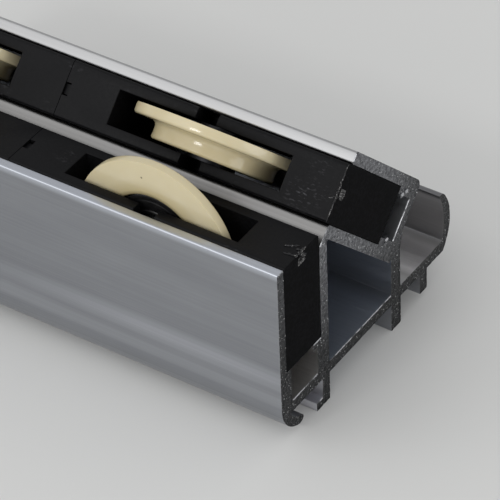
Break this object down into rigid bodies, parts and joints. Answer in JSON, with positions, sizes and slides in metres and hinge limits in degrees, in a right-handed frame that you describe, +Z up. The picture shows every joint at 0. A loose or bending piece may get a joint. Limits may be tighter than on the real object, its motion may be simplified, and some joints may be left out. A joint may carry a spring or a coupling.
{
  "type": "sliding door roller rail",
  "caption": "Short sawn length of aluminium door rail with snap-in flanged rollers in black cassettes, in an upright channel and a leaning channel.",
  "frame": {"origin": "centre of the bounding box in plan, at the feet of the legs", "axes": "+X along the rail towards the sawn end that shows, +Y to the rear, +Z up"},
  "size_m": [0.0908, 0.0442, 0.0402],
  "materials": {
    "anodised_aluminium": "satin anodised with fine extrusion lines, sawn ends",
    "black_plastic": "moulded glass-filled nylon, lightly scuffed",
    "cream_plastic": "smooth acetal, slightly waxy",
    "steel": "ground bearing steel",
    "blackened_steel": "black oxide over turned steel",
    "cage_plastic": "moulded polyamide",
    "seal_rubber": "moulded nitrile rubber"
  },
  "bodies": {
    "root": {"rail_profile": "anodised_aluminium", "front_1_cassette": "black_plastic", "front_1_axle": "blackened_steel", "front_1_washers": "blackened_steel", "front_1_inner_ring": "steel", "front_2_cassette": "black_plastic", "front_2_axle": "blackened_steel", "front_2_washers": "blackened_steel", "front_2_inner_ring": "steel", "rear_1_cassette": "black_plastic", "rear_1_axle": "blackened_steel", "rear_1_washers": "blackened_steel", "rear_1_inner_ring": "steel", "rear_2_cassette": "black_plastic", "rear_2_axle": "blackened_steel", "rear_2_washers": "blackened_steel", "rear_2_inner_ring": "steel"},
    "front_1_roller": {"front_1_wheel": "cream_plastic", "front_1_outer_ring": "steel", "front_1_seals": "seal_rubber"},
    "front_1_ball_set": {"front_1_balls": "steel", "front_1_cage": "cage_plastic"},
    "front_2_roller": {"front_2_wheel": "cream_plastic", "front_2_outer_ring": "steel", "front_2_seals": "seal_rubber"},
    "front_2_ball_set": {"front_2_balls": "steel", "front_2_cage": "cage_plastic"},
    "rear_1_roller": {"rear_1_wheel": "cream_plastic", "rear_1_outer_ring": "steel", "rear_1_seals": "seal_rubber"},
    "rear_1_ball_set": {"rear_1_balls": "steel", "rear_1_cage": "cage_plastic"},
    "rear_2_roller": {"rear_2_wheel": "cream_plastic", "rear_2_outer_ring": "steel", "rear_2_seals": "seal_rubber"},
    "rear_2_ball_set": {"rear_2_balls": "steel", "rear_2_cage": "cage_plastic"}
  },
  "joints": [
    {"name": "front_1_spin", "type": "hinge", "parent": "root", "child": "front_1_roller", "pos_m": [0.02215, -0.01625, 0.0249], "axis": [0, 1, 0], "continuous": true},
    {"name": "front_1_cage_spin", "type": "hinge", "parent": "root", "child": "front_1_ball_set", "pos_m": [0.02215, -0.01625, 0.0249], "axis": [0, 1, 0], "continuous": true},
    {"name": "front_2_spin", "type": "hinge", "parent": "root", "child": "front_2_roller", "pos_m": [-0.02285, -0.01625, 0.0249], "axis": [0, 1, 0], "continuous": true},
    {"name": "front_2_cage_spin", "type": "hinge", "parent": "root", "child": "front_2_ball_set", "pos_m": [-0.02285, -0.01625, 0.0249], "axis": [0, 1, 0], "continuous": true},
    {"name": "rear_1_spin", "type": "hinge", "parent": "root", "child": "rear_1_roller", "pos_m": [0.02215, -0.00277, 0.03007], "axis": [0, 0.7071, 0.7071], "continuous": true},
    {"name": "rear_1_cage_spin", "type": "hinge", "parent": "root", "child": "rear_1_ball_set", "pos_m": [0.02215, -0.00277, 0.03007], "axis": [0, 0.7071, 0.7071], "continuous": true},
    {"name": "rear_2_spin", "type": "hinge", "parent": "root", "child": "rear_2_roller", "pos_m": [-0.02285, -0.00277, 0.03007], "axis": [0, 0.7071, 0.7071], "continuous": true},
    {"name": "rear_2_cage_spin", "type": "hinge", "parent": "root", "child": "rear_2_ball_set", "pos_m": [-0.02285, -0.00277, 0.03007], "axis": [0, 0.7071, 0.7071], "continuous": true}
  ],
  "couplings": [
    {"joint": "front_1_cage_spin", "follows": "front_1_spin", "ratio": 0.62222},
    {"joint": "front_2_cage_spin", "follows": "front_2_spin", "ratio": 0.62222},
    {"joint": "rear_1_cage_spin", "follows": "rear_1_spin", "ratio": 0.62222},
    {"joint": "rear_2_cage_spin", "follows": "rear_2_spin", "ratio": 0.62222}
  ]
}
